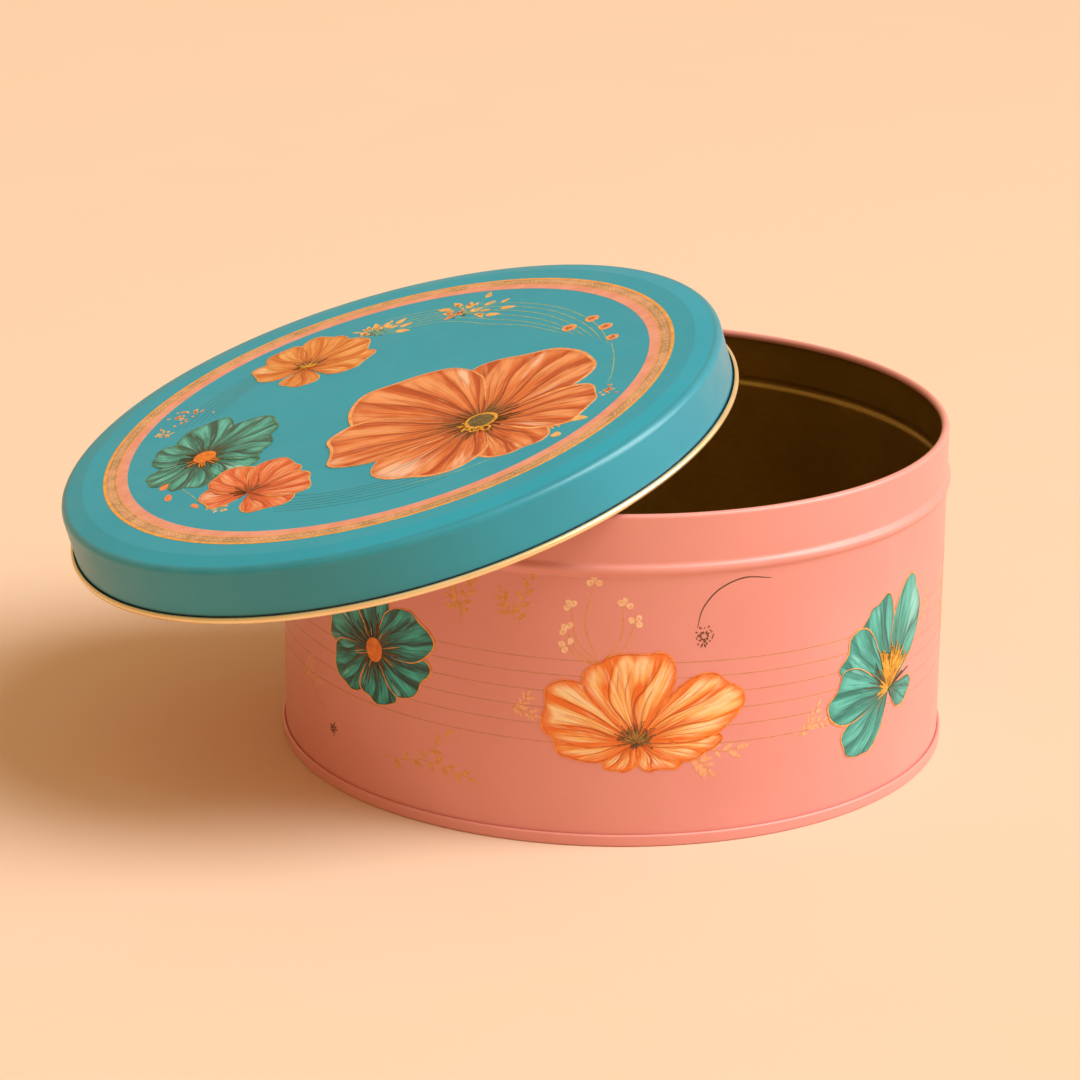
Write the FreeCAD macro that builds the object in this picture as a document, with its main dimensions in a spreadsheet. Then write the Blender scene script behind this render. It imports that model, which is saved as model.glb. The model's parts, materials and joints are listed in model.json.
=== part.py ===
"""Round slip-lid tin with printed decoration: drawn lid leaning on the open tin.

The frame: +Z up, origin on the tin's axis at the level it stands on, and the
lid overhangs towards -X.  Every sheet-metal piece is one revolved profile,
and each size below is a named cell of the Sizes sheet.
"""
import FreeCAD, Part
import math
import os
import Sketcher

# name: (value in mm or degrees, what it is)
SIZES = {
    "sheet": (0.3, "tinplate thickness"),
    "wall_radius": (95.0, "outside of the tin's wall"),
    "tin_height": (94.0, "floor to the top of the rim"),
    "rim_radius": (1.1, "outside of the hollow curl rolled inwards at the rim"),
    "bead_drop": (15.4, "rim to the middle of the stop bead"),
    "bead_proud": (1.0, "how far the stop bead stands out of the wall"),
    "bead_crown": (1.7, "rounding on the bead's crest"),
    "bead_root": (1.5, "rounding where the bead runs into the wall"),
    "seam_play": (0.04, "space between the folded layers of the bottom seam"),
    "seam_height": (3.3, "floor to the top of the bottom seam"),
    "seam_foot": (0.6, "outside rounding at the foot of the bottom seam"),
    "hook_height": (2.45, "floor to the tip of the wall's hook inside the seam"),
    "end_hook_drop": (1.15, "floor to the tip of the bottom's own hook"),
    "floor_height": (3.0, "floor to the underside of the tin's bottom"),
    "floor_step": (0.8, "how much higher the bottom's middle is pressed"),
    "floor_middle": (68.0, "radius of the bottom's pressed middle"),
    "floor_corner": (1.0, "rounding from the bottom into its upright wall"),
    "side_seam_width": (4.4, "width of the wall's folded upright seam"),
    "side_seam_depth": (0.6, "how far the folded seam stands inside the wall"),
    "lid_height": (16.5, "lid's lower edge to the top of its raised panel"),
    "lid_play": (0.35, "space between the lid's skirt and the tin's neck"),
    "lid_curl": (0.9, "outside of the hollow curl at the lid's lower edge"),
    "lid_shoulder": (2.0, "outside rounding from the lid's top into its skirt"),
    "panel_radius": (88.5, "radius of the lid's flat raised panel"),
    "panel_edge": (3.0, "rounding at the edge of the raised panel"),
    "panel_slope": (10.0, "fall of the band outside the panel, degrees"),
    "lean_offset": (68.0, "how far the lid's middle has slid off the tin's axis"),
    "lean_play": (0.35, "space left under the leaning lid where it rests"),
}


class Size:
    """A number together with the sheet expression that it comes from."""

    def __init__(self, value, text):
        self.value = value
        self.text = text

    def join(self, other, sign, value):
        text = other.text if isinstance(other, Size) else repr(other)
        return Size(value, f"({self.text} {sign} {text})")

    def __add__(self, other):
        return self.join(other, "+", self.value + number(other))

    def __sub__(self, other):
        return self.join(other, "-", self.value - number(other))

    def __mul__(self, other):
        return self.join(other, "*", self.value * number(other))

    def __truediv__(self, other):
        return self.join(other, "/", self.value / number(other))

    def root(self):
        return Size(math.sqrt(self.value), f"sqrt({self.text})")

    def sin(self):
        return Size(math.sin(math.radians(self.value)), f"sin({self.text} * 1 deg)")

    def cos(self):
        return Size(math.cos(math.radians(self.value)), f"cos({self.text} * 1 deg)")


def number(size):
    return size.value if isinstance(size, Size) else size


NOTHING = Size(0.0, "0")


def make_sheet(doc):
    """Fills the Sizes sheet and returns each size as a Size."""
    sheet = doc.addObject("Spreadsheet::Sheet", "Sizes")
    for row, (name, (value, meaning)) in enumerate(SIZES.items(), start=1):
        sheet.set(f"A{row}", meaning)
        sheet.set(f"B{row}", str(value))
        sheet.setAlias(f"B{row}", name)
    doc.recompute()
    return {name: Size(value, f"Sizes.{name}") for name, (value, _) in SIZES.items()}


class Outline:
    """A closed outline of straight runs and arcs, every point bound to the sheet."""

    def __init__(self, sketch, x, y):
        self.sketch = sketch
        self.start = (x, y)
        self.runs = []

    def line(self, x, y):
        self.runs.append(((x, y), None))

    def arc(self, x, y, centre_x, centre_y, radius, turn):
        """Arc to (x, y); turn is +1 counter-clockwise and -1 clockwise."""
        self.runs.append(((x, y), (centre_x, centre_y, radius, turn)))

    def close(self):
        """Adds the runs to the sketch, the last of them ending at the start."""
        here = self.start
        first = self.sketch.GeometryCount
        count = len(self.runs)
        for index, (there, bend) in enumerate(self.runs):
            self.add_run(here, there, bend)
            self.place(first + index, self.near_end(bend), here)
            if bend:
                self.hold_centre(first + index, here, there, bend)
            here = there
        for index in range(count):
            after = (index + 1) % count
            bend, next_bend = self.runs[index][1], self.runs[after][1]
            ends = (first + index, 3 - self.near_end(bend))
            starts = (first + after, self.near_end(next_bend))
            self.sketch.addConstraint(Sketcher.Constraint("Coincident", *ends, *starts))

    def add_run(self, here, there, bend):
        start = FreeCAD.Vector(number(here[0]), number(here[1]), 0)
        end = FreeCAD.Vector(number(there[0]), number(there[1]), 0)
        if not bend:
            self.sketch.addGeometry(Part.LineSegment(start, end))
            return
        centre = FreeCAD.Vector(number(bend[0]), number(bend[1]), 0)
        low, high = (start, end) if bend[3] > 0 else (end, start)
        angles = [math.atan2(p.y - centre.y, p.x - centre.x) for p in (low, high)]
        if angles[1] <= angles[0]:
            angles[1] += 2 * math.pi
        circle = Part.Circle(centre, FreeCAD.Vector(0, 0, 1), number(bend[2]))
        self.sketch.addGeometry(Part.ArcOfCircle(circle, *angles))

    def near_end(self, bend):
        """Which end of the run's geometry the outline reaches first: 1 or 2."""
        return 2 if bend and bend[3] < 0 else 1

    def place(self, run, end, point):
        for kind, axis, size in (("DistanceX", -2, point[0]), ("DistanceY", -1, point[1])):
            if abs(number(size)) < 1e-9:
                on_axis = Sketcher.Constraint("PointOnObject", run, end, axis)
                self.sketch.addConstraint(on_axis)
            else:
                self.bind(kind, (-1, 1, run, end), size)

    def hold_centre(self, run, here, there, bend):
        """Binds the arc's centre across its chord; its two ends hold it the other way."""
        width = abs(number(there[0]) - number(here[0]))
        height = abs(number(there[1]) - number(here[1]))
        if width >= height:
            self.bind("DistanceY", (-1, 1, run, 3), bend[1])
        else:
            self.bind("DistanceX", (-1, 1, run, 3), bend[0])

    def bind(self, kind, where, size):
        constraint = Sketcher.Constraint(kind, *where, number(size))
        index = self.sketch.addConstraint(constraint)
        if isinstance(size, Size):
            self.sketch.setExpression(f"Constraints[{index}]", size.text)


def make_body(doc, label):
    body = doc.addObject("PartDesign::Body", label)
    body.Label = label
    return body


def attach_sketch(body, plane_role, name):
    """An empty sketch on one of the body's own origin planes."""
    sketch = body.newObject("Sketcher::SketchObject", name)
    planes = {feature.Role: feature for feature in body.Origin.OriginFeatures}
    sketch.AttachmentSupport = [(planes[plane_role], "")]
    sketch.MapMode = "FlatFace"
    return sketch


def revolve(body, sketch):
    """Turns the sketch once round its own upright axis."""
    turned = body.newObject("PartDesign::Revolution", sketch.Name + "_turned")
    turned.Profile = sketch
    turned.ReferenceAxis = (sketch, ["V_Axis"])
    turned.Angle = 360.0
    sketch.Visibility = False
    return turned


def seam_sizes(s):
    """Radii and levels shared by the layers of the folded bottom seam."""
    sheet, play, wall = s["sheet"], s["seam_play"], s["wall_radius"]
    small_bend = (play * 2 + sheet) / 2
    large_bend = (play * 4 + sheet * 3) / 2
    return {
        "small_bend": small_bend,
        "fold_centre": wall + small_bend,
        "fold_level": large_bend + sheet,
        "end_wall": wall - sheet - play,
        "end_hook": wall + play,
        "body_hook": wall + play * 2 + sheet,
        "seam_face": wall + play * 3 + sheet * 3,
        "top_centre": wall + play + sheet + small_bend,
        "top_level": s["seam_height"] - small_bend - sheet,
    }


def body_wall(doc, s):
    """The wall: one sheet with the rim curl, stop bead, foot hook and upright seam."""
    body = make_body(doc, "body_wall")
    sketch = attach_sketch(body, "XZ_Plane", "wall_profile")
    seam = seam_sizes(s)
    sheet, wall = s["sheet"], s["wall_radius"]
    inner = wall - sheet
    curl_x, curl_y = wall - s["rim_radius"], s["tin_height"] - s["rim_radius"]
    crown, root, proud = s["bead_crown"], s["bead_root"], s["bead_proud"]
    both = crown + root
    reach = (proud * both * 2 - proud * proud).root()
    bead_y = s["tin_height"] - s["bead_drop"]
    crown_x, root_x = wall + proud - crown, wall + root
    share_x, share_y = (both - proud) / both, reach / both

    def bead_side(outline, face, crown_r, root_r, way):
        """The S from the face over the bead and back; way is +1 upwards, -1 down."""
        before, after = bead_y - reach * way, bead_y + reach * way
        swap_x = crown_x + share_x * crown_r
        outline.line(face, before)
        outline.arc(swap_x, bead_y - share_y * crown_r * way, root_x, before, root_r, -way)
        outline.arc(swap_x, bead_y + share_y * crown_r * way, crown_x, bead_y, crown_r, way)
        outline.arc(face, after, root_x, after, root_r, -way)

    outline = Outline(sketch, inner, curl_y)
    bead_side(outline, inner, crown - sheet, root + sheet, -1)
    outline.line(inner, seam["fold_level"])
    fold_x, fold_y = seam["fold_centre"], seam["fold_level"]
    outline.arc(seam["body_hook"] + sheet, fold_y, fold_x, fold_y, seam["small_bend"] + sheet, 1)
    outline.line(seam["body_hook"] + sheet, s["hook_height"])
    outline.line(seam["body_hook"], s["hook_height"])
    outline.line(seam["body_hook"], fold_y)
    outline.arc(wall, fold_y, fold_x, fold_y, seam["small_bend"], -1)
    bead_side(outline, wall, crown, root, 1)
    outline.line(wall, curl_y)
    outline.arc(curl_x, curl_y - s["rim_radius"], curl_x, curl_y, s["rim_radius"], 1)
    outline.line(curl_x, curl_y - s["rim_radius"] + sheet)
    outline.arc(inner, curl_y, curl_x, curl_y, s["rim_radius"] - sheet, -1)
    outline.close()
    revolve(body, sketch)
    side_seam(body, s, seam, bead_y - reach)
    return body


def side_seam(body, s, seam, top):
    """The folded upright seam, a flat strip inside the wall on the +Y side."""
    strip = attach_sketch(body, "XY_Plane", "side_seam_plan")
    half = s["side_seam_width"] / 2
    inside = s["wall_radius"] - s["sheet"] - s["side_seam_depth"]
    middle = s["wall_radius"] - s["sheet"] / 2
    outline = Outline(strip, half * -1, inside)
    outline.line(half, inside)
    outline.line(half, middle)
    outline.line(half * -1, middle)
    outline.line(half * -1, inside)
    outline.close()
    foot = s["floor_height"] + s["floor_step"] + s["sheet"]
    length = top - foot
    strip.AttachmentOffset.Base.z = number(foot)
    strip.setExpression("AttachmentOffset.Base.z", foot.text)
    pad = body.newObject("PartDesign::Pad", "side_seam")
    pad.Profile = strip
    pad.Length = number(length)
    pad.setExpression("Length", length.text)
    strip.Visibility = False


def bottom_end(doc, s):
    """The bottom: a pressed disc whose edge is rolled round the wall's foot hook."""
    body = make_body(doc, "bottom_end")
    sketch = attach_sketch(body, "XZ_Plane", "bottom_profile")
    seam = seam_sizes(s)
    sheet = s["sheet"]
    low, step, corner = s["floor_height"], s["floor_step"], s["floor_corner"]
    middle = s["floor_middle"]
    mild, firm = step - sheet / 2, step + sheet / 2
    # each half of the step turns 60 degrees, so its height equals its mean radius
    half_run, turned_x, turned_y = step * 0.8660254, 0.8660254, 0.5
    end_wall, wall_in = seam["end_wall"], seam["end_wall"] - sheet
    corner_x, corner_y = end_wall - corner, low + sheet - corner
    foot, foot_in = s["seam_foot"], s["seam_foot"] - sheet
    top_x, top_y = seam["top_centre"], seam["top_level"]
    small = seam["small_bend"]
    face, hook = seam["seam_face"], seam["end_hook"]
    swap = middle + half_run
    step_end = swap + half_run
    high_centre, low_centre = low + step + sheet - firm, low + sheet + mild

    outline = Outline(sketch, NOTHING, low + step + sheet)
    outline.line(middle, low + step + sheet)
    outline.arc(middle + firm * turned_x, high_centre + firm * turned_y,
                middle, high_centre, firm, -1)
    outline.arc(step_end, low + sheet, step_end, low_centre, mild, 1)
    outline.line(corner_x, low + sheet)
    outline.arc(end_wall, corner_y, corner_x, corner_y, corner, -1)
    outline.line(end_wall, foot)
    outline.arc(end_wall + foot_in, sheet, end_wall + foot_in, foot, foot_in, 1)
    outline.line(face - foot, sheet)
    outline.arc(face - sheet, foot, face - foot, foot, foot_in, 1)
    outline.line(face - sheet, top_y)
    outline.arc(hook + sheet, top_y, top_x, top_y, small, 1)
    outline.line(hook + sheet, s["end_hook_drop"])
    outline.line(hook, s["end_hook_drop"])
    outline.line(hook, top_y)
    outline.arc(face, top_y, top_x, top_y, small + sheet, -1)
    outline.line(face, foot)
    outline.arc(face - foot, NOTHING, face - foot, foot, foot, -1)
    outline.line(wall_in + foot, NOTHING)
    outline.arc(wall_in, foot, wall_in + foot, foot, foot, -1)
    outline.line(wall_in, corner_y)
    outline.arc(corner_x, low, corner_x, corner_y, corner - sheet, 1)
    outline.line(step_end, low)
    outline.arc(step_end - firm * turned_x, low_centre - firm * turned_y,
                step_end, low_centre, firm, -1)
    outline.arc(middle, low + step, middle, high_centre, mild, 1)
    outline.line(NOTHING, low + step)
    outline.line(NOTHING, low + step + sheet)
    outline.close()
    revolve(body, sketch)
    return body


def bottom_seam_gasket(doc, s):
    """The ring of lining compound pressed in above the wall's hook."""
    body = make_body(doc, "bottom_seam_gasket")
    sketch = attach_sketch(body, "XZ_Plane", "gasket_profile")
    seam = seam_sizes(s)
    inside, outside = seam["body_hook"], seam["body_hook"] + s["sheet"]
    foot, top = s["hook_height"], seam["top_level"] + seam["small_bend"] / 2
    outline = Outline(sketch, inside, foot)
    outline.line(outside, foot)
    outline.line(outside, top)
    outline.line(inside, top)
    outline.line(inside, foot)
    outline.close()
    revolve(body, sketch)
    return body


def lid_shell(doc, s):
    """The lid: one drawn cap with a raised panel, a skirt and a curled edge."""
    body = make_body(doc, "lid_shell")
    sketch = attach_sketch(body, "XZ_Plane", "lid_profile")
    sheet, top, curl = s["sheet"], s["lid_height"], s["lid_curl"]
    skirt = s["wall_radius"] + s["lid_play"] + sheet
    edge, shoulder = s["panel_edge"], s["lid_shoulder"]
    sine, cosine = s["panel_slope"].sin(), s["panel_slope"].cos()
    panel = s["panel_radius"]
    shoulder_x = skirt - shoulder
    # the sloping band is tangent to the panel's edge and to the shoulder
    shoulder_y = (sine * (panel - shoulder_x) + cosine * (top - edge) + edge - shoulder) / cosine
    edge_y = top - edge
    curl_x = skirt - sheet + curl

    outline = Outline(sketch, NOTHING, top)
    outline.line(panel, top)
    outline.arc(panel + sine * edge, edge_y + cosine * edge, panel, edge_y, edge, -1)
    outline.line(shoulder_x + sine * shoulder, shoulder_y + cosine * shoulder)
    outline.arc(skirt, shoulder_y, shoulder_x, shoulder_y, shoulder, -1)
    outline.line(skirt, curl)
    outline.arc(curl_x, curl * 2 - sheet, curl_x, curl, curl - sheet, 1)
    outline.line(curl_x, curl * 2)
    outline.arc(skirt - sheet, curl, curl_x, curl, curl, -1)
    outline.line(skirt - sheet, shoulder_y)
    inner = shoulder - sheet
    outline.arc(shoulder_x + sine * inner, shoulder_y + cosine * inner,
                shoulder_x, shoulder_y, inner, 1)
    under = edge - sheet
    outline.line(panel + sine * under, edge_y + cosine * under)
    outline.arc(panel, top - sheet, panel, edge_y, under, 1)
    outline.line(NOTHING, top - sheet)
    outline.line(NOTHING, top)
    outline.close()
    revolve(body, sketch)
    return body


def lean_placement(s):
    """Where the slid-off lid rests.

    Its panel lies on the rim at the -X side and its lower edge lies on the rim
    where the two circles cross, halfway along the offset, on the +Y and -Y sides.
    """
    rim_middle = number(s["wall_radius"] - s["rim_radius"])
    rim_top = number(s["tin_height"])
    offset = number(s["lean_offset"])
    play = number(s["lean_play"])
    depth = number(s["lid_height"] - s["sheet"])
    tilt = math.asin((depth + 2 * play) / (rim_middle - offset / 2))
    # up the panel from the rest point to the lid's axis, then down to its lower edge
    climb = (rim_middle - offset) / math.cos(tilt)
    turn = FreeCAD.Rotation(FreeCAD.Vector(0, 1, 0), -math.degrees(tilt))
    rest = FreeCAD.Vector(-rim_middle, 0, rim_top)
    up_panel = turn.multVec(FreeCAD.Vector(1, 0, 0))
    normal = turn.multVec(FreeCAD.Vector(0, 0, 1))
    base = rest + up_panel * climb + normal * (play - depth)
    return FreeCAD.Placement(base, turn)


def check(doc, bodies):
    for item in doc.Objects:
        if "Invalid" in item.State or "Error" in item.State:
            raise RuntimeError(f"{item.Name} didn't compute: {item.State}")
    for body in bodies:
        if body.Shape.isNull() or not body.Shape.isValid():
            raise RuntimeError(f"{body.Label} has no valid shape")


def main():
    doc = FreeCAD.newDocument("lithographed_tin")
    sizes = make_sheet(doc)
    makers = (body_wall, bottom_end, bottom_seam_gasket, lid_shell)
    bodies = [make(doc, sizes) for make in makers]
    bodies[-1].Placement = lean_placement(sizes)
    doc.recompute()
    check(doc, bodies)
    os.makedirs("parts", exist_ok=True)
    for body in bodies:
        body.Shape.exportStep(f"parts/{body.Label}.step")
        print(body.Label, "volume", round(body.Shape.Volume, 1), "mm3")


main()
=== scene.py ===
"""Looks of the lithographed tin: its two printed sheets, their lacquered insides and the print."""
import json
import math
import random

import bmesh
import bpy
import numpy as np
from mathutils import Matrix, Vector


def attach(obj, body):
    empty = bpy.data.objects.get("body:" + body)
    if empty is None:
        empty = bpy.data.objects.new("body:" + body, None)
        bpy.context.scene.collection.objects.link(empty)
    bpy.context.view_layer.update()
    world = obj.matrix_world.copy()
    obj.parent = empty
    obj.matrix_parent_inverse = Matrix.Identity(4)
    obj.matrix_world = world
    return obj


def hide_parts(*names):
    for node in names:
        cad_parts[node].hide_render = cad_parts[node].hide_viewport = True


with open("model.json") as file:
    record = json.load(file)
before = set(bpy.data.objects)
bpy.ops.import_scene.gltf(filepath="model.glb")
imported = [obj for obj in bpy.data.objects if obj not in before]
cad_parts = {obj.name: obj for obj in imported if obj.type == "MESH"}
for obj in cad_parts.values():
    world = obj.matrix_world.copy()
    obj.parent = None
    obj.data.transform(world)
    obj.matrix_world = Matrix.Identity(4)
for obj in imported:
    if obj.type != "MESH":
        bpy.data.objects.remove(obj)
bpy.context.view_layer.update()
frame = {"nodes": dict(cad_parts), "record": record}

MM = 0.001

# ---- sizes of the tin, in millimetres
SHEET = 0.3
WALL = 95.0
RIM_CURL, RIM_LEVEL = 1.1, 92.9
BEAD_LEVEL, BEAD_PROUD, BEAD_CROWN, BEAD_ROOT = 78.6, 1.0, 1.7, 1.5
SEAM_FACE, SEAM_ROLL, SEAM_ROLL_LEVEL, SEAM_FOOT = 96.02, 0.49, 2.81, 0.6
FLOOR_LEVEL, FLOOR_STEP, FLOOR_MIDDLE, FLOOR_CORNER = 3.0, 0.8, 68.0, 1.0
END_WALL = 94.66
LID_SKIRT = 95.65
LID_HEIGHT, LID_PANEL, LID_PANEL_EDGE, LID_SLOPE = 16.5, 88.5, 3.0, 10.0
LID_SHOULDER, LID_SHOULDER_LEVEL, LID_CURL = 2.0, 13.608, 0.9
SIDE_SEAM_WIDTH, SIDE_SEAM_DEPTH, SEAM_BOTTOM, SEAM_TOP = 4.4, 0.6, 4.1, 76.3

# ---- the two places things are put in
ROW = Matrix.Identity(4)
lid_top = next(m for m in frame["record"]["mounts"] if m["name"] == "lid_top")
lid_normal = Vector(lid_top["axis"]).normalized()
lid_middle = Vector(lid_top["pos_m"])


def frame_matrix(across, normal, origin):
    """The placement with its X along across, as near as it can, and its Z along normal."""
    z = normal.normalized()
    y = z.cross(across).normalized()
    matrix = Matrix((y.cross(z), y, z)).transposed().to_4x4()
    matrix.translation = origin
    return matrix


LID = frame_matrix(Vector((1, 0, 0)), lid_normal, lid_middle - lid_normal * LID_HEIGHT * MM)
VIEW_TURN = math.radians(19.5)       # the print's own front, turned from -Y towards -X
view_right = Vector((math.cos(VIEW_TURN), -math.sin(VIEW_TURN), 0))
LID_PRINT = frame_matrix(view_right, lid_normal, lid_middle)


# ---- materials
def colour(red, green, blue):
    """A screen colour, 0 to 255, as the linear colour that a shader takes."""
    def linear(value):
        value /= 255
        return value / 12.92 if value <= 0.04045 else ((value + 0.055) / 1.055) ** 2.4
    return (linear(red), linear(green), linear(blue), 1.0)


class Paint:
    """A Principled material that is painted in layers on a ground, and the nodes it takes.

    Every colour given to it is a screen colour.
    """

    def __init__(self, name, ground, roughness=0.4, metallic=0.0, coat=0.0, coat_roughness=0.1):
        self.shade = colour(*ground)
        self.material = bpy.data.materials.new(name)
        self.material.use_nodes = True
        self.nodes = self.material.node_tree.nodes
        self.sockets = self.nodes["Principled BSDF"].inputs
        for key, value in (("Roughness", roughness), ("Metallic", metallic),
                           ("Coat Weight", coat), ("Coat Roughness", coat_roughness)):
            self.sockets[key].default_value = value

    def join(self, value, socket):
        """A node's output is linked to the socket, and a plain number or colour is set on it."""
        if isinstance(value, bpy.types.NodeSocket):
            self.material.node_tree.links.new(value, socket)
        elif value is not None:
            socket.default_value = value

    def add(self, kind, *values, **settings):
        node = self.nodes.new("ShaderNode" + kind)
        for key, value in settings.items():
            setattr(node, key, value)
        for value, socket in zip(values, node.inputs):
            self.join(value, socket)
        return node

    def math(self, operation, *values):
        return self.add("Math", *values, operation=operation).outputs[0]

    def times(self, first, second):
        return self.math("MULTIPLY", first, second)

    def plus(self, first, second):
        return self.math("ADD", first, second)

    def minus(self, first, second):
        return self.math("SUBTRACT", first, second)

    def length(self, x, y):
        return self.math("SQRT", self.plus(self.math("POWER", x, 2.0), self.math("POWER", y, 2.0)))

    def spread(self, value, low, high, start=0.0, end=1.0):
        """value's range low to high, eased into start to end."""
        node = self.add("MapRange", value, low, high, start, end, interpolation_type="SMOOTHSTEP")
        return node.outputs[0]

    def over(self, share, tint, blend="MIX"):
        """Lays a colour over what is painted so far; share, 0 to 1, says how much of it shows."""
        node = self.nodes.new("ShaderNodeMix")
        node.data_type = "RGBA"
        node.blend_type = blend
        self.join(share, node.inputs["Factor"])
        under, upper = (s for s in node.inputs if s.type == "RGBA")
        self.join(self.shade, under)
        self.join(colour(*tint), upper)
        self.shade = next(s for s in node.outputs if s.type == "RGBA")

    def place(self, stretch=(1, 1, 1)):
        """Where the surface is, in millimetres, stretched along each axis."""
        where = self.add("TexCoord").outputs["Object"]
        scale = tuple(1000 * s for s in stretch)
        return self.add("VectorMath", where, scale, operation="MULTIPLY").outputs[0]

    def noise(self, where, size, detail=2.0, roughness=0.5):
        """Noise between 0 and 1 with blotches about size millimetres wide."""
        node = self.add("TexNoise")
        self.join(where, node.inputs["Vector"])
        node.inputs["Scale"].default_value = 1 / size
        node.inputs["Detail"].default_value = detail
        node.inputs["Roughness"].default_value = roughness
        return node.outputs["Fac"]

    def attribute(self, name, output="Fac"):
        return self.add("Attribute", attribute_name=name).outputs[output]

    def bump(self, height, strength, distance_mm, under=None):
        node = self.add("Bump")
        node.inputs["Strength"].default_value = strength
        node.inputs["Distance"].default_value = distance_mm * MM
        self.join(height, node.inputs["Height"])
        self.join(under, node.inputs["Normal"])
        return node.outputs["Normal"]

    def finish(self, roughness, normal):
        for key, value in (("Base Color", self.shade), ("Roughness", roughness), ("Normal", normal)):
            self.join(value, self.sockets[key])
        return self.material


def printed_sheet(name, ground, deep, rubbed_and_highlight, coat, coat_roughness, roughness):
    """Satin printing ink and varnish on tinplate, with the faint marks of handling, and its bends lightened
    by wear and in part by a painted highlight.
    """
    paint = Paint(name, ground, coat=coat, coat_roughness=coat_roughness)
    where = paint.place()
    drift = paint.spread(paint.noise(where, 38.0, 3.0), 0.3, 0.7)
    grain = paint.noise(where, 0.45, 3.0, 0.7)
    paint.over(paint.times(drift, 0.35), deep)
    paint.over(paint.spread(grain, 0.35, 0.65, 0.0, 0.10), deep)
    # rolling the sheet leaves long faint streaks, and hands leave soft cloudy ones
    streak = paint.noise(paint.place((0.05, 0.05, 1.6)), 1.0, 2.0)
    smear = paint.noise(where, 11.0, 5.0, 0.65)
    # the sheet's bends are lightened towards a pale tint: wear, and in part a painted highlight
    crest = paint.attribute("crest")
    worn_and_highlight = paint.times(crest, paint.spread(paint.noise(where, 9.0, 3.0), 0.25, 0.75))
    paint.over(paint.times(worn_and_highlight, 0.10), rubbed_and_highlight)
    scratch = paint.noise(paint.place((0.16, 2.4, 2.4)), 1.0, 1.0)
    scratch = paint.spread(paint.math("ABSOLUTE", paint.minus(scratch, 0.5)), 0.0, 0.006)
    kept = paint.spread(paint.noise(where, 17.0, 1.0), 0.60, 0.68)
    scratch = paint.times(paint.minus(1.0, scratch), kept)
    paint.over(paint.times(scratch, 0.16), rubbed_and_highlight)
    rough = paint.plus(paint.spread(smear, 0.3, 0.7, roughness - 0.05, roughness + 0.06),
                       paint.times(streak, 0.05))
    wavy = paint.bump(paint.noise(where, 52.0, 1.0), 0.25, 1.4)
    fine = paint.bump(paint.noise(where, 0.9, 2.0), 0.10, 0.05, wavy)
    return paint.finish(rough, fine)


def lacquered_sheet(name, ground, deep, metallic, roughness, grainy=1.0):
    """The clear gold-brown lacquer on the sheet's other side; the tin shows through it."""
    paint = Paint(name, ground, metallic=metallic, coat=0.3, coat_roughness=0.18)
    where = paint.place()
    pool = paint.spread(paint.noise(where, 24.0, 4.0, 0.6), 0.3, 0.7)
    grain = paint.noise(paint.place((0.3, 0.3, 3.0)), 1.1, 3.0)
    paint.over(paint.times(pool, 0.45), deep)
    paint.over(paint.spread(grain, 0.4, 0.6, 0.0, 0.30 * grainy), deep)
    speck = paint.spread(paint.noise(where, 1.7, 2.0, 0.8), 0.70, 0.78)
    paint.over(paint.times(speck, 0.25 * grainy), ground, "SCREEN")
    rough = paint.spread(paint.noise(where, 7.0, 4.0), 0.3, 0.7, roughness - 0.05, roughness + 0.08)
    wavy = paint.bump(paint.noise(where, 40.0, 1.0), 0.3, 1.2)
    bump = paint.bump(grain, 0.12 * grainy, 0.06, wavy)
    return paint.finish(rough, bump)


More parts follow.
